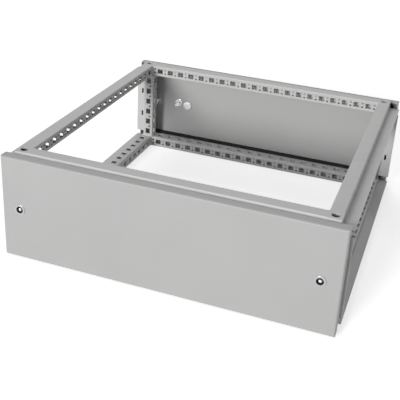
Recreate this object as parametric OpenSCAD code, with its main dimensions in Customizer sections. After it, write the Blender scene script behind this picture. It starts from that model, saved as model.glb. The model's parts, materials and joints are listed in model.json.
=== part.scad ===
// Low frame module of a modular floor enclosure: a welded frame of eight rails, four posts
// and eight corner pieces, with a folded panel held on the front and on the rear by two
// quarter-turn locks each. Millimetres. X runs left to right, Y front to rear, Z up.
// The origin is at the middle of the base.

/* [Frame] */
// Width over the frame
frame_w = 600; // [400:25:1200]
// Depth over both panels
frame_d = 600; // [400:25:1000]
// Height over the rails
frame_h = 200; // [200:25:400]
// Thickness of the folded sheet
sheet = 1.5; // [1:0.1:2]

/* [Rails] */
// Side of the rail's square tube
rail_box = 24; // [22:0.5:28]
// From the frame's outside to the rail's tube
rail_inset = 20; // [20:0.5:24]
// From the frame's top or base to the rail's flange
flange_drop = 15; // [13:0.5:18]
// How far a front or rear flange turns in to press on its gasket
lip = 6; // [4:0.5:8]
// How far the slots of a rail's level face lie outside the middle of that face
slot_shift = 3; // [0:0.5:3.5]
// Outside radius of a fold
fold_r = 2; // [1.8:0.1:3]

/* [Posts] */
// Side of the post's square tube
post_box = 23; // [20:0.5:26]
// From the frame's outside to the post's tube
post_inset = 25; // [24:0.5:26]
// Length of the slot in a post's side flange
flange_slot_l = 12; // [8:1:20]
// Width of the slot in a post's side flange
flange_slot_w = 4; // [3:0.5:6]
// Height of that slot above the post's middle
flange_slot_up = 28; // [20:1:35]

/* [Perforation] */
// Pitch of the system holes
grid = 25; // [20:1:40]
// Long side of a rectangular system hole
slot_l = 12.5; // [8:0.5:14]
// Short side of a rectangular system hole
slot_w = 10.5; // [8:0.5:12]
// Diameter of a round system hole
dot_d = 4.5; // [3:0.5:5]
// Distance between the two round holes of a pair
dot_pair = 8; // [7:0.5:9]
// Least metal between a hole and the end of its member
end_margin = 2; // [1:0.5:6]

/* [Corner pieces] */
// Diameter of the fixing hole in a corner piece
corner_hole_d = 14; // [10:0.5:16]
// Wall of a corner piece
corner_wall = 2; // [1.5:0.1:3]
// Thickness of the plate that the post stands on
seat_t = 3; // [2:0.5:5]
// Diameter of the hole through that plate, in line with the fixing hole
seat_hole_d = 10; // [6:0.5:10]

/* [Panels] */
// Gap between a panel's edge and the frame's outline
panel_gap = 4; // [2:0.5:6]
// Depth of a panel over its folded edges
panel_depth = 18; // [14:0.5:19]
// Outside radius of a panel's folds
panel_fold_r = 3; // [2.5:0.1:4]
// From the panel's outer face to the frame's sealing edge
seal_depth = 10; // [8:0.5:12]
// From the frame's outline to the gasket
gasket_inset = 14; // [12:0.5:15]
// Width of the gasket
gasket_w = 12; // [11:0.5:14]

/* [Locks] */
// From the frame's side to the lock's axis
lock_inset = 38; // [37.5:0.1:39]
// Diameter of the lock's rim
rim_d = 20; // [19:0.5:24]
// Height of the rim on the panel
rim_t = 1.5; // [1:0.1:3]
// Diameter of the lock's threaded body
body_d = 17; // [16:0.1:18]
// Width over the flats of the lock's body
body_flat = 15; // [14.5:0.1:15.5]
// Clearance between the lock's body and the panel's hole
hole_clear = 0.2; // [0.1:0.1:0.5]
// Diameter of the key socket
socket_d = 12.5; // [11:0.1:13]
// Depth of the key socket behind the panel's face
socket_depth = 8; // [5:0.5:9]
// Radial clearance of the turning core
core_clear = 0.05; // [0.02:0.01:0.1]
// Diameter of the core's centre pin
key_pin_d = 5; // [3:0.1:6]
// Span of the two bits on the centre pin
key_bit_span = 9; // [7:0.1:10]
// How far the bits lie behind the pin's face
key_bit_drop = 4; // [1:0.5:4.5]
// Thickness of a bit
key_bit_t = 2; // [1.5:0.1:3]
// Diameter of the core's shaft
shaft_d = 10; // [9.5:0.1:10.5]
// Thickness of the core's collar
collar_t = 3; // [2:0.1:4]
// Square end that carries the cam
square_w = 7; // [6:0.1:7]
// Width over the flats of the lock's nut
nut_af = 22; // [21:0.1:22.5]
// Thickness of the lock's nut
nut_t = 5; // [4:0.1:6]
// Thickness of the cam
cam_t = 3; // [2:0.1:4]
// Width of the cam
cam_w = 14; // [12:0.5:15]
// Reach of the cam from the lock's axis
cam_reach = 20; // [18:0.5:23]
// Clearance round the cam in the post's slot
cam_clear = 1; // [0.5:0.1:2]
// Thread diameter of the cam's screw
cam_screw_d = 5; // [4:0.5:5]
// Width over the flats of the cam screw's head
cam_screw_af = 8; // [8:0.5:10]
// Height of the cam screw's head
cam_screw_head = 3.5; // [2:0.5:4]
// Length of the cam screw's shank
cam_screw_l = 10; // [7:0.5:10]

/* [Earthing] */
// Height of the stud above the panel's middle
stud_up = 4; // [0:0.5:20]
// From the frame's side to the earthing stud
stud_inset = 96; // [94:1:150]
// Thread diameter of the earthing stud
stud_d = 8; // [5:0.5:8]
// Length of the earthing stud
stud_l = 20; // [18:0.5:24]
// Diameter of the washer on the stud
washer_d = 17; // [16:0.5:18]
// Thickness of the washer
washer_t = 1.6; // [1:0.1:2.5]
// Width over the flats of the stud's nut
stud_nut_af = 13; // [13:0.5:15]
// Thickness of the stud's nut
stud_nut_t = 6.5; // [5:0.5:8]
// Diameter of the bare contact pad beside the stud
pad_d = 20; // [14:0.5:20]
// Thickness of the contact pad
pad_t = 3; // [2:0.5:5]
// Distance from the stud to the contact pad
pad_step = 21; // [19:0.5:30]

/* [Hidden] */
$fn = 48;
// How far a cutter runs past the face that it opens
over = 1;
// A hem is the sheet folded double
hem = 2 * sheet;
// Inside radius of a fold
inner_r = fold_r - sheet;
// Length of a rail, and where its tube ends, from the frame's outside
rail_end = rail_inset + rail_box;
rail_x_l = frame_w - 2 * rail_end;
rail_y_l = frame_d - 2 * rail_end;
// A post stands between the seat plates of its two corner pieces
post_bottom = rail_box + seat_t;
post_l = frame_h - 2 * post_bottom;
post_end = post_inset + post_box;
// A post's hems carry on the two outer walls of its tube
hem_at = post_inset + sheet - hem;
// Outline of a panel, and its place above the base
panel_w = frame_w - 2 * panel_gap;
panel_h = frame_h - 2 * panel_gap;
// Places along a lock's axis, from the panel's outer face
lock_z = frame_h / 2;
collar_at = socket_depth;
shoulder_at = collar_at + collar_t;
cam_play = 0.2;
body_end = shoulder_at + 4.5;
cam_at = body_end + cam_play;
// The cam's slot in the post's sealing flange
cam_slot_h = 2 * (sqrt(pow(cam_reach, 2) - pow(lock_inset - hem_at - hem, 2)) + cam_clear);

// ---- Placing ----

// Corner frame: x and y run inwards from the frame's outside at the corner named by the signs
module at_corner(side, end) {
    translate([side * frame_w / 2, end * frame_d / 2, 0])
        mirror([side > 0 ? 1 : 0, 0, 0])
            mirror([0, end > 0 ? 1 : 0, 0])
                children();
}

// The same thing hung from the frame's top instead of standing on its base
module at_top() {
    translate([0, 0, frame_h])
        mirror([0, 0, 1])
            children();
}

// Panel frame: y runs inwards from the outer face, z up from the base; the rear is a half turn
module at_panel(end) {
    rotate([0, 0, end > 0 ? 180 : 0])
        translate([0, -frame_d / 2, 0])
            children();
}

// Lock frame: z runs inwards from the panel's outer face, x towards the frame's nearest side
module at_lock(side, end) {
    translate([side * (frame_w / 2 - lock_inset), end * frame_d / 2, lock_z])
        mirror([side < 0 ? 1 : 0, 0, 0])
            mirror([0, end > 0 ? 1 : 0, 0])
                rotate([-90, 0, 0])
                    children();
}

// ---- Shapes ----

// Square with rounded corners, its lower left corner at the origin
module round_square(w, h, r) {
    translate([r, 0])
        square([w - 2 * r, h]);
    translate([0, r])
        square([w, h - 2 * r]);
    for (x = [r, w - r], y = [r, h - r])
        translate([x, y])
            circle(r);
}

// Wall of a folded square tube
module tube_profile(w) {
    difference() {
        round_square(w, w, fold_r);
        translate([sheet, sheet])
            round_square(w - 2 * sheet, w - 2 * sheet, inner_r);
    }
}

// Extrude a profile drawn in Y and Z along X, centred
module along_x(length) {
    rotate([90, 0, 90])
        translate([0, 0, -length / 2])
            linear_extrude(length)
                children();
}

// Hexagonal prism with two flats facing left and right
module hexagon(af, t) {
    rotate([0, 0, 30])
        cylinder(d = af / cos(30), h = t, $fn = 6);
}

// Row of rectangular holes, and of round ones between them, cut down through a sheet.
// The row lies along x, and across is where its middle runs.
module row_slots(length) {
    count = floor((length - slot_l - 2 * end_margin) / grid) + 1;
    for (i = [0 : count - 1])
        translate([(i - (count - 1) / 2) * grid - slot_l / 2, -slot_w / 2, -over])
            cube([slot_l, slot_w, sheet + 2 * over]);
}

module row_dots(length, places, offsets) {
    for (i = [0 : places - 1], y = offsets)
        translate([(i - (places - 1) / 2) * grid, y, -over])
            cylinder(d = dot_d, h = sheet + 2 * over, $fn = 24);
}

// ---- Rails ----

// Section of a rail: a tube with one flange, which turns in at its edge where it meets a gasket
module rail_profile(reach, lip_l) {
    translate([rail_inset, 0])
        tube_profile(rail_box);
    flange_l = reach + sheet / 2;
    translate([rail_inset - reach, flange_drop])
        square([flange_l, sheet]);
    translate([rail_inset - reach, flange_drop])
        square([sheet, max(lip_l, sheet)]);
}

// A rail of the base, along x, with its outside at y = 0 and both inner faces perforated
module rail(length, reach, lip_l) {
    pairs = floor((length - dot_d - 2 * end_margin) / grid) + 1;
    slots_l = (pairs - 1) * grid;
    difference() {
        along_x(length)
            rail_profile(reach, lip_l);
        translate([0, rail_end - sheet, rail_box / 2])
            rotate([-90, 0, 0]) {
                row_slots(slots_l);
                row_dots(length, pairs, [-dot_pair / 2, dot_pair / 2]);
            }
        translate([0, rail_inset + rail_box / 2 - slot_shift, rail_box - sheet])
            row_slots(slots_l);
    }
}

// Front and rear rails: the flange stops at the gasket and turns in
module cross_rail(end) {
    color("gainsboro")
        translate([0, end * frame_d / 2, 0])
            mirror([0, end > 0 ? 1 : 0, 0])
                rail(rail_x_l, rail_inset - seal_depth, lip);
}

// Side rails: the flange runs out to the frame's side
module side_rail(side) {
    color("gainsboro")
        translate([side * frame_w / 2, 0, 0])
            mirror([side > 0 ? 1 : 0, 0, 0])
                rotate([0, 0, 90])
                    mirror([0, 1, 0])
                        rail(rail_y_l, rail_inset, 0);
}

// ---- Posts ----

// Section of a post: a tube set in from the corner, with a hem out to the side and one out
// to the panel's gasket
module post_profile() {
    translate([post_inset, post_inset])
        tube_profile(post_box);
    translate([0, hem_at])
        square([post_inset + fold_r, hem]);
    translate([hem_at, seal_depth])
        square([hem, post_inset + fold_r - seal_depth]);
}

// Holes of one post face, along z, cut towards +x from the tube's outer face
module post_face_holes() {
    row_mid = post_inset + post_box / 2;
    translate([post_end - sheet, row_mid, post_bottom + post_l / 2])
        rotate([0, 90, 0]) {
            count = floor((post_l - slot_l - 2 * end_margin) / grid);
            row_slots(post_l);
            row_dots(post_l, count, [dot_pair / 2]);
        }
}

module post(side, end) {
    color("gainsboro")
        at_corner(side, end)
            difference() {
                translate([0, 0, post_bottom])
                    linear_extrude(post_l)
                        post_profile();
                post_face_holes();
                mirror([1, -1, 0])
                    post_face_holes();
                for (up = [-1, 1])
                    translate([post_inset / 2 - flange_slot_w / 2, hem_at - over,
                               lock_z + up * flange_slot_up - flange_slot_l / 2])
                        cube([flange_slot_w, hem + 2 * over, flange_slot_l]);
                translate([hem_at - over, cam_at - cam_clear, lock_z - cam_slot_h / 2])
                    cube([hem + 2 * over, cam_t + 2 * cam_clear, cam_slot_h]);
            }
}

// ---- Corner pieces ----

// A hollow pressing that joins two rails and a post, with a fixing hole in its outer face
module corner_piece() {
    difference() {
        translate([rail_inset, rail_inset, 0])
            linear_extrude(rail_box)
                round_square(rail_box, rail_box, fold_r);
        translate([rail_inset + corner_wall, rail_inset + corner_wall, corner_wall])
            cube([rail_box - 2 * corner_wall, rail_box - 2 * corner_wall, rail_box]);
        translate([rail_inset + rail_box / 2, rail_inset + rail_box / 2, -over])
            cylinder(d = corner_hole_d, h = corner_wall + 2 * over);
    }
    seat = hem_at;
    difference() {
        translate([seat, seat, rail_box])
            cube([post_end - seat, post_end - seat, seat_t]);
        translate([rail_inset + rail_box / 2, rail_inset + rail_box / 2, rail_box - over])
            cylinder(d = seat_hole_d, h = seat_t + 2 * over);
    }
    translate([0, seat, flange_drop])
        cube([rail_inset + sheet, rail_end - seat, sheet]);
    translate([seat, seal_depth, flange_drop])
        cube([rail_end - seat, rail_inset - seal_depth + sheet, sheet]);
    translate([seat, seal_depth, flange_drop])
        cube([rail_end - seat, sheet, lip]);
}

module corner(side, end) {
    color("lightgray")
        at_corner(side, end)
            corner_piece();
}

// ---- Panels and gaskets ----

// Depth section of a tray, rounded at the two folds of its face
module tray_profile(w, depth, r) {
    translate([r - w / 2, 0])
        square([w - 2 * r, depth]);
    translate([-w / 2, r])
        square([w, depth - r]);
    for (x = [r - w / 2, w / 2 - r])
        translate([x, r])
            circle(r);
}

// A block whose four edges round its face are rounded, centred on x and z
module tray_block(w, h, depth, r) {
    intersection() {
        translate([0, 0, -h / 2])
            linear_extrude(h)
                tray_profile(w, depth, r);
        along_x(w)
            mirror([1, -1, 0])
                tray_profile(h, depth, r);
    }
}

// Hole of one lock, round with two flats
module lock_hole() {
    hole_d = body_d + 2 * hole_clear;
    hole_flat = body_flat + 2 * hole_clear;
    translate([0, 0, -over])
        intersection() {
            cylinder(d = hole_d, h = sheet + 2 * over);
            translate([-hole_d, -hole_flat / 2, 0])
                cube([2 * hole_d, hole_flat, sheet + 2 * over]);
        }
}

module panel(end) {
    color("silver")
        difference() {
            at_panel(end)
                translate([0, 0, frame_h / 2])
                    difference() {
                        tray_block(panel_w, panel_h, panel_depth, panel_fold_r);
                        translate([0, sheet, 0])
                            tray_block(panel_w - 2 * sheet, panel_h - 2 * sheet,
                                       panel_depth, panel_fold_r - sheet);
                    }
            for (side = [-1, 1])
                at_lock(side, end)
                    lock_hole();
        }
}

module gasket(end) {
    ring_w = frame_w - 2 * gasket_inset;
    ring_h = frame_h - 2 * gasket_inset;
    color("#2c2c2c")
        at_panel(end)
            translate([-ring_w / 2, seal_depth, gasket_inset])
                rotate([90, 0, 0])
                    linear_extrude(seal_depth - sheet)
                        difference() {
                            round_square(ring_w, ring_h, gasket_w / 2);
                            translate([gasket_w, gasket_w])
                                square([ring_w - 2 * gasket_w, ring_h - 2 * gasket_w]);
                        }
}

// ---- Locks ----

module lock_housing(side, end) {
    color("silver")
        at_lock(side, end)
            difference() {
                union() {
                    translate([0, 0, -rim_t])
                        cylinder(d = rim_d, h = rim_t);
                    intersection() {
                        cylinder(d = body_d, h = body_end);
                        translate([-body_d, -body_flat / 2, 0])
                            cube([2 * body_d, body_flat, body_end]);
                    }
                }
                translate([0, 0, -rim_t - over])
                    cylinder(d = socket_d, h = shoulder_at + rim_t + over);
                cylinder(d = shaft_d + 2 * core_clear, h = body_end + over);
            }
}

module lock_nut(side, end) {
    color("silver")
        at_lock(side, end)
            translate([0, 0, sheet])
                difference() {
                    hexagon(nut_af, nut_t);
                    translate([0, 0, -over])
                        cylinder(d = body_d, h = nut_t + 2 * over);
                }
}

// The turning core: a pin with two bits in the socket, a collar, a shaft and a square end
module lock_core(side, end) {
    color("lightgray")
        at_lock(side, end)
            difference() {
                union() {
                    cylinder(d = key_pin_d, h = collar_at);
                    translate([-key_bit_span / 2, -key_bit_t / 2, key_bit_drop])
                        cube([key_bit_span, key_bit_t, collar_at - key_bit_drop]);
                    translate([0, 0, collar_at])
                        cylinder(d = socket_d - 2 * core_clear, h = collar_t - core_clear);
                    translate([0, 0, collar_at])
                        cylinder(d = shaft_d, h = cam_at - collar_at);
                    translate([-square_w / 2, -square_w / 2, collar_at])
                        cube([square_w, square_w, cam_at + cam_t - collar_at]);
                }
                translate([0, 0, cam_at + cam_t - cam_screw_l])
                    cylinder(d = cam_screw_d, h = cam_screw_l + over);
            }
}

module lock_cam(side, end) {
    tip_r = cam_w / 2;
    color("gainsboro")
        at_lock(side, end)
            translate([0, 0, cam_at])
                difference() {
                    union() {
                        cylinder(d = cam_w + 2, h = cam_t);
                        translate([0, -tip_r, 0])
                            cube([cam_reach - tip_r, cam_w, cam_t]);
                        translate([cam_reach - tip_r, 0, 0])
                            cylinder(r = tip_r, h = cam_t);
                    }
                    translate([-square_w / 2, -square_w / 2, -over])
                        cube([square_w, square_w, cam_t + 2 * over]);
                }
}

module cam_screw(side, end) {
    color("silver")
        at_lock(side, end)
            translate([0, 0, cam_at + cam_t]) {
                hexagon(cam_screw_af, cam_screw_head);
                translate([0, 0, -cam_screw_l])
                    cylinder(d = cam_screw_d, h = cam_screw_l);
            }
}

// ---- Earthing point ----

// Stud frame: z runs inwards from the inside of the panel's sheet
module at_stud(end) {
    at_panel(end)
        translate([frame_w / 2 - stud_inset, sheet, frame_h / 2 + stud_up])
            rotate([-90, 0, 0])
                children();
}

module earth_stud(end) {
    color("silver")
        at_stud(end)
            cylinder(d = stud_d, h = stud_l);
}

module earth_washer(end) {
    color("gainsboro")
        at_stud(end)
            difference() {
                cylinder(d = washer_d, h = washer_t);
                translate([0, 0, -over])
                    cylinder(d = stud_d, h = washer_t + 2 * over);
            }
}

module earth_nut(end) {
    color("silver")
        at_stud(end)
            translate([0, 0, washer_t])
                difference() {
                    hexagon(stud_nut_af, stud_nut_t);
                    translate([0, 0, -over])
                        cylinder(d = stud_d, h = stud_nut_t + 2 * over);
                }
}

module earth_pad(end) {
    chamfer = pad_t / 3;
    color("silver")
        at_stud(end)
            translate([-pad_step, stud_up, 0])
                rotate_extrude()
                    polygon([[0, 0], [pad_d / 2, 0], [pad_d / 2, pad_t - chamfer],
                             [pad_d / 2 - chamfer, pad_t], [0, pad_t]]);
}

panel(-1);  // front_panel
panel(1);  // rear_panel
gasket(-1);  // front_gasket
gasket(1);  // rear_gasket
at_top() cross_rail(-1);  // top_rail_front
at_top() cross_rail(1);  // top_rail_rear
at_top() side_rail(-1);  // top_rail_left
at_top() side_rail(1);  // top_rail_right
cross_rail(-1);  // bottom_rail_front
cross_rail(1);  // bottom_rail_rear
side_rail(-1);  // bottom_rail_left
side_rail(1);  // bottom_rail_right
post(-1, -1);  // post_front_left
post(1, -1);  // post_front_right
post(-1, 1);  // post_rear_left
post(1, 1);  // post_rear_right
at_top() corner(-1, -1);  // top_corner_front_left
at_top() corner(1, -1);  // top_corner_front_right
at_top() corner(-1, 1);  // top_corner_rear_left
at_top() corner(1, 1);  // top_corner_rear_right
corner(-1, -1);  // bottom_corner_front_left
corner(1, -1);  // bottom_corner_front_right
corner(-1, 1);  // bottom_corner_rear_left
corner(1, 1);  // bottom_corner_rear_right
lock_housing(-1, -1);  // lock_housing_front_left
lock_housing(1, -1);  // lock_housing_front_right
lock_housing(-1, 1);  // lock_housing_rear_left
lock_housing(1, 1);  // lock_housing_rear_right
lock_nut(-1, -1);  // lock_nut_front_left
lock_nut(1, -1);  // lock_nut_front_right
lock_nut(-1, 1);  // lock_nut_rear_left
lock_nut(1, 1);  // lock_nut_rear_right
lock_core(-1, -1);  // lock_core_front_left
lock_core(1, -1);  // lock_core_front_right
lock_core(-1, 1);  // lock_core_rear_left
lock_core(1, 1);  // lock_core_rear_right
lock_cam(-1, -1);  // lock_cam_front_left
lock_cam(1, -1);  // lock_cam_front_right
lock_cam(-1, 1);  // lock_cam_rear_left
lock_cam(1, 1);  // lock_cam_rear_right
cam_screw(-1, -1);  // cam_screw_front_left
cam_screw(1, -1);  // cam_screw_front_right
cam_screw(-1, 1);  // cam_screw_rear_left
cam_screw(1, 1);  // cam_screw_rear_right
earth_stud(-1);  // earth_stud_front
earth_stud(1);  // earth_stud_rear
earth_washer(-1);  // earth_washer_front
earth_washer(1);  // earth_washer_rear
earth_nut(-1);  // earth_nut_front
earth_nut(1);  // earth_nut_rear
earth_pad(-1);  // earth_pad_front
earth_pad(1);  // earth_pad_rear
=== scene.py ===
import json
import math

import bmesh
import bpy
from mathutils import Matrix, Vector


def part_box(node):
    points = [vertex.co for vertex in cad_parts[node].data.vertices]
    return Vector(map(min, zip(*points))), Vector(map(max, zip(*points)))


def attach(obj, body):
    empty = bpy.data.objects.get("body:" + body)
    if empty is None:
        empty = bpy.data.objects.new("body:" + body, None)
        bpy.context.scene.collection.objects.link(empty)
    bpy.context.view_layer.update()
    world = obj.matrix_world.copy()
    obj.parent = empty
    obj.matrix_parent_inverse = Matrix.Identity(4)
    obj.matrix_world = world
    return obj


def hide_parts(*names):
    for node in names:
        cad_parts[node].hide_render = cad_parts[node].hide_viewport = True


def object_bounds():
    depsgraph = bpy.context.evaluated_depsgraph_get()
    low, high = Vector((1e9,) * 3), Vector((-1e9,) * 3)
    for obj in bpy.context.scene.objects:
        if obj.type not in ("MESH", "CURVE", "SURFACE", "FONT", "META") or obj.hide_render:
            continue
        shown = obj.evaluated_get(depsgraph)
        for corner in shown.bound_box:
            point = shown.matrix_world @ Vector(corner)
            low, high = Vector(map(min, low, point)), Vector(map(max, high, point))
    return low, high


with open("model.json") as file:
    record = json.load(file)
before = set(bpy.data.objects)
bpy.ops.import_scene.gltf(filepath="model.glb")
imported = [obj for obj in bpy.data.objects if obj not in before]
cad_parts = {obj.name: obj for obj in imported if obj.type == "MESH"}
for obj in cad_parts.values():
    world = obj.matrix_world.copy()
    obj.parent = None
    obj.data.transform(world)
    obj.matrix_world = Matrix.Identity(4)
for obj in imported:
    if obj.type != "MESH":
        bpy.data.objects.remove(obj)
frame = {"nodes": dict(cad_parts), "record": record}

nodes = frame["nodes"]
cadLow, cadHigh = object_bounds()
slotOf = {part["node"]: part["material_slot"] for part in frame["record"]["subparts"]}
ends = ("front", "rear")
corners = [(end, side) for end in ends for side in ("left", "right")]
mm = 0.001
cutTolerance = 0.0001 * mm
print("frame loaded:", len(nodes), "nodes")


cameraSetup = {
    "place": (0.3955, -1.290, 0.7496),
    "azimuth": 18.81,  # degrees to the left of looking straight back
    "elevation": 24.29,  # degrees below level
    "roll": 3.14,
    "lens": 68.85,
    "sensor": 36,
    "shiftY": -0.125,
    "near": 0.05,
    "far": 30,
}


def makeCamera(setup):
    data = bpy.data.cameras.new("camera")
    data.lens = setup["lens"]
    data.sensor_width = setup["sensor"]
    data.shift_y = setup["shiftY"]
    data.dof.use_dof = False
    data.clip_start, data.clip_end = setup["near"], setup["far"]
    camera = bpy.data.objects.new("camera", data)
    bpy.context.scene.collection.objects.link(camera)
    turn = Matrix.Rotation(math.radians(setup["azimuth"]), 4, "Z")
    tilt = Matrix.Rotation(math.radians(90 - setup["elevation"]), 4, "X")
    roll = Matrix.Rotation(math.radians(setup["roll"]), 4, "Z")
    camera.matrix_world = Matrix.Translation(setup["place"]) @ turn @ tilt @ roll
    bpy.context.scene.camera = camera


makeCamera(cameraSetup)
print("camera placed")


worldSetup = {
    "colour": (0.80, 0.805, 0.81, 1),
    "strength": 0.30,
    "backdrop": (1, 1, 1, 1),
}

floorSetup = {
    "size": 14.0,
    "below": 0.1 * mm,  # gap under the frame's base
    "colour": (0.84, 0.84, 0.84, 1),
    "roughness": 0.9,
    "specular": 0.1,
    "glowColour": (1, 1, 1, 1),
    "glow": 0.64,
}

lampSetup = [
    {"name": "frontLamp", "place": (-1.80, -8.45, 2.65), "size": 2.4, "power": 540},
    {"name": "backLamp", "place": (-1.50, 4.00, 5.10), "size": 2.4, "power": 58},
]


def plainView(tree):
    # one for rays from the camera and for what polished metal mirrors
    path = tree.nodes.new("ShaderNodeLightPath")
    value = path.outputs["Is Camera Ray"]
    for name in ("Is Glossy Ray", "Is Transmission Ray"):
        value = mathNode(tree, "MAXIMUM", value, path.outputs[name])
    return value


def mathNode(tree, operation, *values):
    # a value is a number or another node's output
    node = tree.nodes.new("ShaderNodeMath")
    node.operation = operation
    for socket, value in zip(node.inputs, values):
        if isinstance(value, float):
            socket.default_value = value
        else:
            tree.links.new(value, socket)
    return node.outputs[0]


def makeWorld(setup):
    world = bpy.data.worlds.new("studio")
    bpy.context.scene.world = world
    world.use_nodes = True
    tree = world.node_tree
    tree.nodes.clear()
    output = tree.nodes.new("ShaderNodeOutputWorld")
    lighting = tree.nodes.new("ShaderNodeBackground")
    lighting.inputs["Color"].default_value = setup["colour"]
    lighting.inputs["Strength"].default_value = setup["strength"]
    seen = tree.nodes.new("ShaderNodeBackground")
    seen.inputs["Color"].default_value = setup["backdrop"]
    mix = tree.nodes.new("ShaderNodeMixShader")
    tree.links.new(plainView(tree), mix.inputs["Fac"])
    tree.links.new(lighting.outputs[0], mix.inputs[1])
    tree.links.new(seen.outputs[0], mix.inputs[2])
    tree.links.new(mix.outputs[0], output.inputs["Surface"])


def makeFloor(setup):
    build = bmesh.new()
    bmesh.ops.create_grid(build, x_segments=1, y_segments=1, size=setup["size"] / 2)
    bmesh.ops.translate(build, verts=build.verts, vec=(0, 0, cadLow.z - setup["below"]))
    mesh = bpy.data.meshes.new("floor")
    build.to_mesh(mesh)
    build.free()
    floor = bpy.data.objects.new("floor", mesh)
    bpy.context.scene.collection.objects.link(floor)
    paint, tree, shader = newFinish("paleFloor", specular=setup["specular"])
    shader.inputs["Base Color"].default_value = setup["colour"]
    shader.inputs["Roughness"].default_value = setup["roughness"]
    shader.inputs["Emission Color"].default_value = setup["glowColour"]
    glow = mathNode(tree, "MULTIPLY", plainView(tree), setup["glow"])
    tree.links.new(glow, shader.inputs["Emission Strength"])
    mesh.materials.append(paint)


def makeLamp(setup):
    data = bpy.data.lights.new(setup["name"], "AREA")
    data.shape = "DISK"
    data.size = setup["size"]
    data.energy = setup["power"]
    lamp = bpy.data.objects.new(setup["name"], data)
    bpy.context.scene.collection.objects.link(lamp)
    lamp.location = setup["place"]
    aim = (cadLow + cadHigh) / 2 - Vector(setup["place"])
    lamp.rotation_euler = aim.to_track_quat("-Z", "Y").to_euler()


def newFinish(name, metallic=0.0, specular=0.5):
    finish = bpy.data.materials.new(name)
    finish.use_nodes = True
    shader = finish.node_tree.nodes["Principled BSDF"]
    shader.inputs["Metallic"].default_value = metallic
    shader.inputs["Specular IOR Level"].default_value = specular
    return finish, finish.node_tree, shader


makeWorld(worldSetup)
makeFloor(floorSetup)
for lamp in lampSetup:
    makeLamp(lamp)
print("stage and lamps ready")


noiseMiddle = (0.3, 0.7)  # most of a noise lies between these
noiseWhole = (0.1, 0.9)
numberSockets = {"first": 2, "second": 3, "result": 0}  # of a Mix node
colourSockets = {"first": 6, "second": 7, "result": 2}


def objectPlace(tree, stretch=(1, 1, 1)):
    place = tree.nodes.new("ShaderNodeTexCoord").outputs["Object"]
    mapping = tree.nodes.new("ShaderNodeMapping")
    mapping.inputs["Scale"].default_value = stretch
    tree.links.new(place, mapping.inputs["Vector"])
    return mapping.outputs["Vector"]


def noiseAt(tree, place, scale, detail=3.0):
    noise = tree.nodes.new("ShaderNodeTexNoise")
    noise.inputs["Scale"].default_value = scale
    noise.inputs["Detail"].default_value = detail
    tree.links.new(place, noise.inputs["Vector"])
    return noise.outputs["Fac"]


def roughen(tree, shader, value, roughness, span=noiseMiddle):
    rough = spread(tree, value, roughness, span)
    tree.links.new(rough, shader.inputs["Roughness"])


def spread(tree, value, results, span=noiseMiddle):
    ramp = tree.nodes.new("ShaderNodeMapRange")
    ramp.inputs["From Min"].default_value, ramp.inputs["From Max"].default_value = span
    ramp.inputs["To Min"].default_value, ramp.inputs["To Max"].default_value = results
    tree.links.new(value, ramp.inputs["Value"])
    return ramp.outputs["Result"]


def colourBetween(tree, value, setup):
    ramp = tree.nodes.new("ShaderNodeValToRGB")
    for stop, place, shade in zip(ramp.color_ramp.elements, noiseMiddle, ("dark", "light")):
        stop.position = place
        stop.color = (*setup[shade], 1)
    tree.links.new(value, ramp.inputs["Fac"])
    return ramp.outputs["Color"]


def blendColour(tree, factor, first, second):
    mix = tree.nodes.new("ShaderNodeMix")
    mix.data_type = "RGBA"
    tree.links.new(factor, mix.inputs["Factor"])
    tree.links.new(first, mix.inputs[colourSockets["first"]])
    mix.inputs[colourSockets["second"]].default_value = (*second, 1)
    return mix.outputs[colourSockets["result"]]


def blendNumber(tree, factor, first, second):
    mix = tree.nodes.new("ShaderNodeMix")
    tree.links.new(factor, mix.inputs["Factor"])
    tree.links.new(first, mix.inputs[numberSockets["first"]])
    mix.inputs[numberSockets["second"]].default_value = second
    return mix.outputs[numberSockets["result"]]


def bumpFrom(tree, shader, value, strength, distance):
    bump = tree.nodes.new("ShaderNodeBump")
    bump.inputs["Strength"].default_value = strength
    bump.inputs["Distance"].default_value = distance
    tree.links.new(value, bump.inputs["Height"])
    tree.links.new(bump.outputs["Normal"], shader.inputs["Normal"])


powderCoat = {
    "light": (0.482, 0.484, 0.478),
    "dark": (0.462, 0.464, 0.458),
    "roughness": (0.38, 0.56),
    "clouds": 7.0,  # slow drift of the film over a panel
    "cloudDetail": 2.0,
    "grain": 900.0,  # orange peel of about a millimetre
    "grainBump": 0.35,
    "grainDepth": 0.06 * mm,
}


def makePowderCoat(setup):
    finish, tree, shader = newFinish("greyPowderCoat")
    place = objectPlace(tree)
    clouds = noiseAt(tree, place, setup["clouds"], setup["cloudDetail"])
    tree.links.new(colourBetween(tree, clouds, setup), shader.inputs["Base Color"])
    grain = noiseAt(tree, place, setup["grain"])
    roughen(tree, shader, grain, setup["roughness"], noiseWhole)
    bumpFrom(tree, shader, grain, setup["grainBump"], setup["grainDepth"])
    return finish


dipCoat = {
    "light": (0.635, 0.637, 0.628),
    "dark": (0.600, 0.602, 0.594),
    "roughness": (0.34, 0.48),
    "flow": 26.0,  # faint runs of the dipped primer
    "flowStretch": (1, 1, 0.3),
    "grain": 420.0,
    "grainBump": 0.1,
    "grainDepth": 0.05 * mm,
}


def makeDipCoat(setup):
    finish, tree, shader = newFinish("paleDipCoat")
    flow = noiseAt(tree, objectPlace(tree, setup["flowStretch"]), setup["flow"])
    tree.links.new(colourBetween(tree, flow, setup), shader.inputs["Base Color"])
    grain = noiseAt(tree, objectPlace(tree), setup["grain"])
    roughen(tree, shader, grain, setup["roughness"], noiseWhole)
    bumpFrom(tree, shader, grain, setup["grainBump"], setup["grainDepth"])
    return finish


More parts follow.
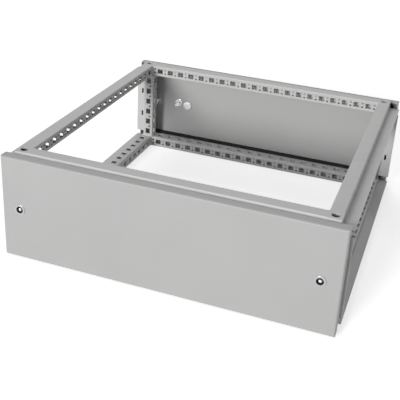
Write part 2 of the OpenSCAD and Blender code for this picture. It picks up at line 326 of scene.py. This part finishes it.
weldCoat = {
    "light": dipCoat["light"],  # the welds are dipped with the frame
    "dark": dipCoat["dark"],
    "roughness": 0.4,
    "specular": 0.45,
    "clouds": 90.0,
    "ripple": 380.0,
    "rippleDetail": 1.0,
    "rippleBump": 0.7,
    "rippleDepth": 0.25 * mm,
}


def makeWeldCoat(setup):
    finish, tree, shader = newFinish("coatedWeld", specular=setup["specular"])
    shader.inputs["Roughness"].default_value = setup["roughness"]
    place = objectPlace(tree)
    clouds = noiseAt(tree, place, setup["clouds"])
    tree.links.new(colourBetween(tree, clouds, setup), shader.inputs["Base Color"])
    ripple = noiseAt(tree, place, setup["ripple"], setup["rippleDetail"])
    bumpFrom(tree, shader, ripple, setup["rippleBump"], setup["rippleDepth"])
    return finish


foam = {
    "light": (0.030, 0.030, 0.031),
    "dark": (0.016, 0.016, 0.017),
    "roughness": 0.85,
    "specular": 0.25,
    "clouds": 60.0,
    "cells": 700.0,
    "cellBump": 0.5,
    "cellDepth": 0.4 * mm,
}


def makeFoam(setup):
    finish, tree, shader = newFinish("blackFoam", specular=setup["specular"])
    shader.inputs["Roughness"].default_value = setup["roughness"]
    place = objectPlace(tree)
    clouds = noiseAt(tree, place, setup["clouds"])
    tree.links.new(colourBetween(tree, clouds, setup), shader.inputs["Base Color"])
    cells = tree.nodes.new("ShaderNodeTexVoronoi")
    cells.inputs["Scale"].default_value = setup["cells"]
    tree.links.new(place, cells.inputs["Vector"])
    bumpFrom(tree, shader, cells.outputs["Distance"], setup["cellBump"], setup["cellDepth"])
    return finish


zinc = {
    "light": (0.80, 0.81, 0.83),
    "dark": (0.66, 0.67, 0.70),
    "roughness": (0.22, 0.38),
    "spangle": 260.0,
    "scratch": 900.0,
    "scratchStretch": (1, 1, 0.12),
    "detail": 2.0,
    "scratchBump": 0.15,
    "scratchDepth": 0.03 * mm,
}


def makeZinc(setup):
    finish, tree, shader = newFinish("brightZincPlate", metallic=1.0)
    spangle = noiseAt(tree, objectPlace(tree), setup["spangle"], setup["detail"])
    tree.links.new(colourBetween(tree, spangle, setup), shader.inputs["Base Color"])
    place = objectPlace(tree, setup["scratchStretch"])
    scratch = noiseAt(tree, place, setup["scratch"], setup["detail"])
    roughen(tree, shader, scratch, setup["roughness"])
    bumpFrom(tree, shader, scratch, setup["scratchBump"], setup["scratchDepth"])
    return finish


coreLow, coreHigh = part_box("lock_core_front_right")
lockAcross = (coreLow.x + coreHigh.x) / 2
lockUp = (coreLow.z + coreHigh.z) / 2
lockFace = -coreLow.y

casting = {
    "light": (0.54, 0.54, 0.55),
    "dark": (0.46, 0.46, 0.47),
    "roughness": (0.16, 0.30),
    "skin": 420.0,
    "skinBump": 0.2,
    "skinDepth": 0.04 * mm,
    "pin": (0.88, 0.88, 0.88),  # the key wears the pin bright
    "pinRadius": 2.6 * mm,
    "paintedRecessShade": (0.16, 0.16, 0.165),  # painted shade: the key socket's inside is coloured dark where little light reaches
    "recessRoughness": 0.6,
    "recessRadius": 6.32 * mm,
    "recessDepth": 0.6 * mm,
}


def makeCasting(setup):
    finish, tree, shader = newFinish("platedDieCasting", metallic=1.0)
    skin = noiseAt(tree, objectPlace(tree), setup["skin"])
    paintedRecessShade, pin = lockRecessShadeMask(tree, setup)
    worn = blendColour(tree, pin, colourBetween(tree, skin, setup), setup["pin"])
    # painted shade: the key socket's inside is coloured dark over the plated colour
    tree.links.new(blendColour(tree, paintedRecessShade, worn, setup["paintedRecessShade"]), shader.inputs["Base Color"])
    rough = spread(tree, skin, setup["roughness"])
    rough = blendNumber(tree, paintedRecessShade, rough, setup["recessRoughness"])
    tree.links.new(rough, shader.inputs["Roughness"])
    bumpFrom(tree, shader, skin, setup["skinBump"], setup["skinDepth"])
    return finish


def lockRecessShadeMask(tree, setup):
    # the first value is the painted shade mask, one inside a key socket and nought on its rim and
    # on the pin's face
    split = tree.nodes.new("ShaderNodeSeparateXYZ")
    tree.links.new(objectPlace(tree), split.inputs[0])
    across = mathNode(tree, "ABSOLUTE", split.outputs["X"])
    across = mathNode(tree, "SUBTRACT", across, lockAcross)
    up = mathNode(tree, "SUBTRACT", split.outputs["Z"], lockUp)
    square = mathNode(tree, "MULTIPLY", across, across)
    square = mathNode(tree, "ADD", square, mathNode(tree, "MULTIPLY", up, up))
    radius = mathNode(tree, "SQRT", square)
    within = mathNode(tree, "LESS_THAN", radius, setup["recessRadius"])
    depth = mathNode(tree, "SUBTRACT", lockFace, mathNode(tree, "ABSOLUTE", split.outputs["Y"]))
    deep = mathNode(tree, "GREATER_THAN", depth, setup["recessDepth"])
    pin = mathNode(tree, "LESS_THAN", radius, setup["pinRadius"])
    socket = mathNode(tree, "SUBTRACT", 1.0, pin)
    return mathNode(tree, "MULTIPLY", within, mathNode(tree, "MAXIMUM", deep, socket)), pin


finishes = {
    "panel_paint": makePowderCoat(powderCoat),
    "frame_paint": makeDipCoat(dipCoat),
    "gasket_foam": makeFoam(foam),
    "lock_plating": makeCasting(casting),
    "zinc_plating": makeZinc(zinc),
}
finishes["corner_paint"] = finishes["frame_paint"]
weldFinish = makeWeldCoat(weldCoat)


def dress(thing, finish):
    if not thing.data.materials:
        thing.data.materials.append(finish)
    for place in thing.material_slots:
        place.material = finish


for name, slotName in slotOf.items():
    dress(nodes[name], finishes[slotName])
print("finishes applied")


shaping = {
    "merge": 0.002 * mm,
    "flat": 0.2,  # degrees between faces that count as one
    "crease": 20,  # degrees past which an edge stays sharp
    "softCrease": 32,
}


def mergedCopy(name):
    build = bmesh.new()
    build.from_mesh(nodes[name].data)
    bmesh.ops.remove_doubles(build, verts=build.verts, dist=shaping["merge"])
    bmesh.ops.dissolve_limit(build, angle_limit=math.radians(shaping["flat"]),
                             verts=build.verts, edges=build.edges)
    return build


def cutAcross(build, height, way=1, clearOuter=False):
    everything = build.verts[:] + build.edges[:] + build.faces[:]
    bmesh.ops.bisect_plane(build, geom=everything, dist=cutTolerance, plane_co=(0, 0, height),
                           plane_no=(0, 0, way), clear_outer=clearOuter)


def bevelEdges(build, edges, width, segments):
    bmesh.ops.bevel(build, geom=edges, offset=width, offset_type="OFFSET", segments=segments,
                    profile=0.5, affect="EDGES", material=-1, clamp_overlap=True)


def sharpEdges(build, angle):
    return [edge for edge in build.edges
            if edge.is_manifold and edge.calc_face_angle(0) > math.radians(angle)]


def fromAxis(vert):
    return math.hypot(vert.co.x, vert.co.y)


def drawIn(vert, radius):
    share = radius / fromAxis(vert)
    vert.co.x *= share
    vert.co.y *= share


def addPiece(name, build, body, node=None, slotName=None, finish=None, crease=shaping["crease"]):
    slotName = slotName or slotOf[node]
    build.normal_update()
    for face in build.faces:
        face.smooth = True
    for edge in build.edges:
        edge.smooth = True
    for edge in sharpEdges(build, crease):
        edge.smooth = False
    mesh = bpy.data.meshes.new(name)
    build.to_mesh(mesh)
    build.free()
    piece = bpy.data.objects.new(name, mesh)
    bpy.context.scene.collection.objects.link(piece)
    mesh.materials.append(finish or finishes[slotName])
    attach(piece, body)
    if node:
        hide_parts(node)


lockHardware = {
    "pitch": 1.5 * mm,
    "threadDepth": 0.55 * mm,
    "threadFrom": 6.7 * mm,
    "threadStop": 0.4 * mm,  # plain end behind the thread
    "endBand": 1.0 * mm,  # the body's radius is read this near its end
    "flatSkin": 0.05 * mm,  # the body's two flats lie further in than this
    "ringMatch": 0.01 * mm,
    "rimRound": 0.8 * mm,
    "rimSteps": 5,
    "rimSkin": 0.1 * mm,
    "edges": {"lock_core": 0.25 * mm, "lock_cam": 0.5 * mm, "cam_screw": 0.25 * mm},
    "nutEdge": 0.7 * mm,
    "edgeSegments": 2,
    "edgeAngle": 50,
}


def towardsLock(name):
    # the node's place seen along its own axis: z inwards from the panel's outer face
    low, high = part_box(name)
    rear = low.y > 0
    centre = Vector(((low.x + high.x) / 2, lockFace if rear else -lockFace, lockUp))
    turn = Matrix.Rotation(math.radians(-90 if rear else 90), 4, "X")
    return turn @ Matrix.Translation(-centre)


def roundRim(build, setup):
    # rings cut into the rim's side and drawn in along a quarter round
    width = setup["rimRound"]
    face = min(vert.co.z for vert in build.verts)
    rimRadius = max(fromAxis(vert) for vert in build.verts)
    for step in range(1, setup["rimSteps"] + 1):
        angle = math.radians(90) * step / setup["rimSteps"]
        cutAcross(build, face + width * (1 - math.cos(angle)))
    for vert in build.verts:
        if fromAxis(vert) >= rimRadius - setup["rimSkin"]:
            depth = min(max((vert.co.z - face) / width, 0), 1)
            drawIn(vert, rimRadius - width * (1 - math.sin(math.acos(1 - depth))))


def threadLockBody(build, setup, bodyRadius, bodyEnd):
    # every half pitch a ring climbs the thread, and every second one is drawn in to its root
    half = setup["pitch"] / 2
    rings = int((bodyEnd - setup["threadStop"] - setup["threadFrom"]) / half)
    rings -= rings % 2
    for ring in range(rings + 1):
        cutAcross(build, setup["threadFrom"] + ring * half)
    for vert in build.verts:
        ring = round((vert.co.z - setup["threadFrom"]) / half)
        onRing = abs(vert.co.z - setup["threadFrom"] - ring * half) < setup["ringMatch"]
        onFlat = fromAxis(vert) < bodyRadius - setup["flatSkin"]
        if onFlat or not onRing or ring <= 0 or ring >= rings:
            continue
        right = vert.co.x > 0
        angle = math.atan2(vert.co.y, abs(vert.co.x)) * (1 if right else -1)
        vert.co.z += setup["pitch"] * angle / math.tau
        if (ring % 2 == 1) == right:
            root = bodyRadius - setup["threadDepth"]
            vert.co.x = math.copysign(math.sqrt(root ** 2 - vert.co.y ** 2), vert.co.x)


def makeHousing(node, name, setup):
    build = mergedCopy(node)
    toLock = towardsLock(node)
    build.transform(toLock)
    bodyEnd = max(vert.co.z for vert in build.verts)
    bodyRadius = max(fromAxis(vert) for vert in build.verts
                     if vert.co.z > bodyEnd - setup["endBand"])
    roundRim(build, setup)
    threadLockBody(build, setup, bodyRadius, bodyEnd)
    build.transform(toLock.inverted())
    addPiece(name, build, "frame", node)


def makeSoftened(node, name, body, edge, setup):
    build = mergedCopy(node)
    bevelEdges(build, sharpEdges(build, setup["edgeAngle"]), edge, setup["edgeSegments"])
    addPiece(name, build, body, node)


def makeLocks(setup):
    for end, side in corners:
        place = f"{end}_{side}"
        label = end.capitalize() + side.capitalize()
        makeHousing(f"lock_housing_{place}", "lockHousing" + label, setup)
        makeSoftened(f"lock_nut_{place}", "lockNut" + label, "frame", setup["nutEdge"], setup)
        for part, edge in setup["edges"].items():
            first, second = part.split("_")
            pieceName = first + second.capitalize() + label
            makeSoftened(f"{part}_{place}", pieceName, "lock_" + place, edge, setup)


makeLocks(lockHardware)
print("locks made")


earthing = {
    "pitch": 1.25 * mm,
    "threadDepth": 0.65 * mm,
    "steps": 28,
    "lead": 4,  # half pitches of thread swept below the foot, and cut off there
    "spare": 6,  # half pitches swept more than the length needs
    "merge": 0.005 * mm,
    "tip": 1.0 * mm,
    "edge": 0.3 * mm,
    "edgeSegments": 2,
    "edgeAngle": 40,
}


def threadedStud(length, radius, setup):
    # a zigzag profile swept once round while it climbs one pitch
    build = bmesh.new()
    half = setup["pitch"] / 2
    root = radius - setup["threadDepth"]
    count = int(length / half) + setup["spare"]
    verts = [build.verts.new((radius if step % 2 else root, 0, (step - setup["lead"]) * half))
             for step in range(count + 1)]
    edges = [build.edges.new(pair) for pair in zip(verts, verts[1:])]
    bmesh.ops.spin(build, geom=verts + edges, cent=(0, 0, 0), axis=(0, 0, 1), angle=math.tau,
                   steps=setup["steps"], dvec=(0, 0, setup["pitch"] / setup["steps"]),
                   use_merge=False)
    bmesh.ops.remove_doubles(build, verts=build.verts, dist=setup["merge"])
    cutAcross(build, 0, -1, clearOuter=True)
    cutAcross(build, length, 1, clearOuter=True)
    bmesh.ops.holes_fill(build, edges=[edge for edge in build.edges if edge.is_boundary], sides=0)
    for vert in build.verts:
        reach = radius - max(0, vert.co.z - (length - setup["tip"]))
        if fromAxis(vert) > reach:
            drawIn(vert, reach)
    bmesh.ops.recalc_face_normals(build, faces=build.faces)
    return build


def makeEarthing(setup):
    for end in ends:
        label = end.capitalize()
        node = "earth_stud_" + end
        low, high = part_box(node)
        stud = threadedStud(high.y - low.y, (high.x - low.x) / 2, setup)
        footY, turn = (low.y, -90) if end == "front" else (high.y, 90)
        foot = Vector(((low.x + high.x) / 2, footY, (low.z + high.z) / 2))
        stud.transform(Matrix.Translation(foot) @ Matrix.Rotation(math.radians(turn), 4, "X"))
        addPiece("earthStud" + label, stud, "frame", node)
        for part in ("washer", "nut", "pad"):
            name = "earth" + part.capitalize() + label
            makeSoftened(f"earth_{part}_{end}", name, "frame", setup["edge"], setup)


makeEarthing(earthing)
print("earthing points made")


gasketSetup = {
    "crown": 3.2 * mm,
    "segments": 4,
    "angle": 60,
    "match": 0.01 * mm,
}


def makeGaskets(setup):
    for end in ends:
        node = end + "_gasket"
        build = mergedCopy(node)
        crown = (min if end == "rear" else max)(vert.co.y for vert in build.verts)
        edges = [edge for edge in sharpEdges(build, setup["angle"])
                 if all(abs(vert.co.y - crown) < setup["match"] for vert in edge.verts)]
        bevelEdges(build, edges, setup["crown"], setup["segments"])
        addPiece("foamedGasket" + end.capitalize(), build, "frame", node,
                 crease=shaping["softCrease"])


makeGaskets(gasketSetup)
print("gaskets made")


weldSetup = {
    "stand": 0.45 * mm,  # how far a bead stands off the tube
    "width": 3.0 * mm,
    "fold": 2.2 * mm,
    "foldSegments": 4,
    "rimSegments": 3,
    "endFacing": 0.99,  # a face counts as an end where its normal lies along the tube
    "grind": 0.05 * mm,  # the stacking faces are ground just below flush
    "postTube": 23.0 * mm,
}


def weldRing(size, setup):
    # a bead all round a square tube, along z
    build = bmesh.new()
    bmesh.ops.create_cube(build, size=1)
    across = size + 2 * setup["stand"]
    bmesh.ops.scale(build, verts=build.verts, vec=(across, across, setup["width"]))
    upright = [edge for edge in build.edges
               if abs(edge.verts[0].co.z - edge.verts[1].co.z) > setup["width"] / 2]
    bevelEdges(build, upright, setup["fold"], setup["foldSegments"])
    caps = endFaces(build)
    rims = [edge for edge in build.edges if any(face in caps for face in edge.link_faces)]
    bevelEdges(build, rims, setup["stand"], setup["rimSegments"])
    caps = endFaces(build)
    bmesh.ops.inset_region(build, faces=caps, thickness=setup["stand"], use_even_offset=True)
    bmesh.ops.delete(build, geom=caps, context="FACES")
    bmesh.ops.bridge_loops(build, edges=[edge for edge in build.edges if edge.is_boundary])
    bmesh.ops.recalc_face_normals(build, faces=build.faces)
    return build


def endFaces(build):
    return [face for face in build.faces if abs(face.normal.z) > weldSetup["endFacing"]]


def addRing(total, size, place, turn, setup):
    ring = weldRing(size, setup)
    ring.transform(Matrix.Translation(place) @ turn)
    for vert in ring.verts:
        vert.co.z = min(max(vert.co.z, cadLow.z + setup["grind"]), cadHigh.z - setup["grind"])
    mesh = bpy.data.meshes.new("ring")
    ring.to_mesh(mesh)
    ring.free()
    total.from_mesh(mesh)
    bpy.data.meshes.remove(mesh)


def makeWelds(setup):
    total = bmesh.new()
    alongX = Matrix.Rotation(math.radians(90), 4, "Y")
    alongY = Matrix.Rotation(math.radians(90), 4, "X")
    for level in ("top", "bottom"):
        for end in ends:
            low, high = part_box(f"{level}_rail_{end}")
            tube = high.z - low.z
            across = low.y + tube / 2 if end == "rear" else high.y - tube / 2
            for along in (low.x, high.x):
                addRing(total, tube, (along, across, (low.z + high.z) / 2), alongX, setup)
        for side in ("left", "right"):
            low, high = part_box(f"{level}_rail_{side}")
            tube = high.z - low.z
            across = low.x + tube / 2 if side == "right" else high.x - tube / 2
            for along in (low.y, high.y):
                addRing(total, tube, (across, along, (low.z + high.z) / 2), alongY, setup)
    half = setup["postTube"] / 2
    for end, side in corners:
        low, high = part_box(f"post_{end}_{side}")
        x = low.x + half if side == "right" else high.x - half
        y = low.y + half if end == "rear" else high.y - half
        for foot in (low.z, high.z):
            addRing(total, setup["postTube"], (x, y, foot), Matrix(), setup)
    addPiece("cornerWelds", total, "frame", slotName="corner_paint", finish=weldFinish,
             crease=shaping["softCrease"])


makeWelds(weldSetup)
print("welds made")


bpy.context.scene.view_settings.view_transform = "Standard"
